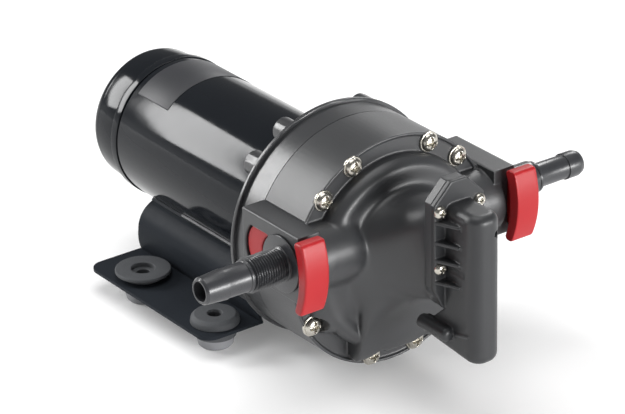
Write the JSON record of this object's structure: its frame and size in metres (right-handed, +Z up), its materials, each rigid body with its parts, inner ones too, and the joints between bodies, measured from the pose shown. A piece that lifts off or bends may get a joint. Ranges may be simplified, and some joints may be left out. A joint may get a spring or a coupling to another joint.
{
  "type": "water pressure pump",
  "caption": "Diaphragm water pump with permanent magnet motor, pressure switch, slide-clip hose fittings and a rubber-footed base plate.",
  "frame": {"origin": "middle of the four foot holes, in the plane that the feet rest on", "axes": "+Z up, +Y along the motor shaft away from the pump head, +X towards the outlet side"},
  "size_m": [0.2163, 0.268, 0.1197],
  "materials": {
    "head_moulding": "moulded, fine grain",
    "switch_moulding": "moulded, fine grain",
    "fitting_moulding": "moulded, satin",
    "housing_paint": "satin black on cast aluminium",
    "motor_paint": "gloss black",
    "base_paint": "gloss black on pressed steel",
    "clip_red": "satin moulded",
    "stainless": "polished stainless",
    "zinc_steel": "zinc plated",
    "foot_rubber": "matt",
    "strip_rubber": "matt",
    "label_film": "bare satin film",
    "seal_rubber": "smooth",
    "diaphragm_rubber": "smooth",
    "valve_rubber": "smooth",
    "valve_plate_moulding": "moulded",
    "drive_moulding": "moulded",
    "piston_moulding": "moulded",
    "bearing_steel": "ground",
    "hub_metal": "cast",
    "shaft_steel": "ground",
    "lamination_steel": "stacked sheet",
    "copper_wire": "enamelled copper",
    "copper_bars": "turned copper",
    "end_plate_steel": "cast",
    "magnet_ferrite": "fired",
    "brush_carbon": "pressed carbon",
    "brush_holder": "moulded",
    "spring_steel": "bare",
    "microswitch_body": "moulded",
    "button_moulding": "moulded",
    "terminal_metal": "plated",
    "seat_moulding": "moulded"
  },
  "bodies": {
    "pump": {"pump_head": "head_moulding", "head_gasket": "seal_rubber", "valve_plate": "valve_plate_moulding", "inlet_valves": "valve_rubber", "outlet_valve": "valve_rubber", "diaphragm": "diaphragm_rubber", "head_screws": "stainless", "head_washers": "stainless", "drive_housing": "housing_paint", "motor_can": "motor_paint", "motor_rear_cap": "motor_paint", "label_band": "label_film", "front_end_plate": "end_plate_steel", "front_bearing_outer": "bearing_steel", "rear_bearing_outer": "bearing_steel", "field_magnets": "magnet_ferrite", "brush_plate": "brush_holder", "carbon_brushes": "brush_carbon", "brush_springs": "spring_steel", "through_bolts": "zinc_steel", "base_plate": "base_paint", "saddle_strips": "strip_rubber", "saddle_screws": "zinc_steel", "foot_front_left": "foot_rubber", "foot_front_right": "foot_rubber", "foot_rear_left": "foot_rubber", "foot_rear_right": "foot_rubber", "switch_housing": "switch_moulding", "switch_diaphragm": "seal_rubber", "switch_spring": "spring_steel", "spring_seat": "seat_moulding", "microswitch": "microswitch_body", "switch_terminals": "terminal_metal", "switch_screws": "stainless"},
    "rotor": {"motor_shaft": "shaft_steel", "armature_core": "lamination_steel", "armature_windings": "copper_wire", "commutator": "copper_bars", "front_bearing_inner": "bearing_steel", "rear_bearing_inner": "bearing_steel", "eccentric_hub": "hub_metal", "cam_bearing_inner": "bearing_steel", "hub_set_screw": "zinc_steel"},
    "wobble_drive": {"wobble_plate": "drive_moulding", "cam_bearing_outer": "bearing_steel", "pistons": "piston_moulding", "piston_screws": "zinc_steel"},
    "inlet_port": {"inlet_fitting": "fitting_moulding", "inlet_oring": "seal_rubber"},
    "outlet_port": {"outlet_fitting": "fitting_moulding", "outlet_oring": "seal_rubber"},
    "inlet_clip_body": {"inlet_clip": "clip_red"},
    "outlet_clip_body": {"outlet_clip": "clip_red"},
    "plunger": {"switch_plunger": "seat_moulding"},
    "button": {"microswitch_button": "button_moulding"},
    "adjuster": {"adjusting_screw": "zinc_steel"}
  },
  "joints": [
    {"name": "rotor_spin", "type": "hinge", "parent": "pump", "child": "rotor", "pos_m": [0, -0.05, 0.062], "axis": [0, 1, 0], "continuous": true, "deforming": ["diaphragm"]},
    {"name": "wobble_spin", "type": "hinge", "parent": "rotor", "child": "wobble_drive", "pos_m": [0, -0.064, 0.062], "axis": [0, 0.9986, 0.0523], "continuous": true},
    {"name": "inlet_swivel", "type": "hinge", "parent": "pump", "child": "inlet_port", "pos_m": [-0.06, -0.102, 0.074], "axis": [1, 0, 0], "continuous": true},
    {"name": "outlet_swivel", "type": "hinge", "parent": "pump", "child": "outlet_port", "pos_m": [0.06, -0.102, 0.074], "axis": [1, 0, 0], "continuous": true},
    {"name": "inlet_clip_slide", "type": "slide", "parent": "pump", "child": "inlet_clip_body", "axis": [0, -1, 0], "range_m": [0, 0.007]},
    {"name": "outlet_clip_slide", "type": "slide", "parent": "pump", "child": "outlet_clip_body", "axis": [0, -1, 0], "range_m": [0, 0.007]},
    {"name": "plunger_slide", "type": "slide", "parent": "pump", "child": "plunger", "axis": [0, -1, 0], "range_m": [0, 0.0006], "stiffness_N_per_m": 800, "springref_m": -0.001, "deforming": ["switch_spring", "switch_diaphragm"]},
    {"name": "button_slide", "type": "slide", "parent": "pump", "child": "button", "axis": [0, -1, 0], "range_m": [0, 0.0006]},
    {"name": "adjuster_turn", "type": "hinge", "parent": "pump", "child": "adjuster", "pos_m": [0.0046, -0.162, 0.0946], "axis": [0, 1, 0], "range_deg": [-360, 360]}
  ],
  "couplings": [
    {"joint": "wobble_spin", "follows": "rotor_spin", "ratio": -1},
    {"joint": "button_slide", "follows": "plunger_slide", "ratio": 1}
  ]
}
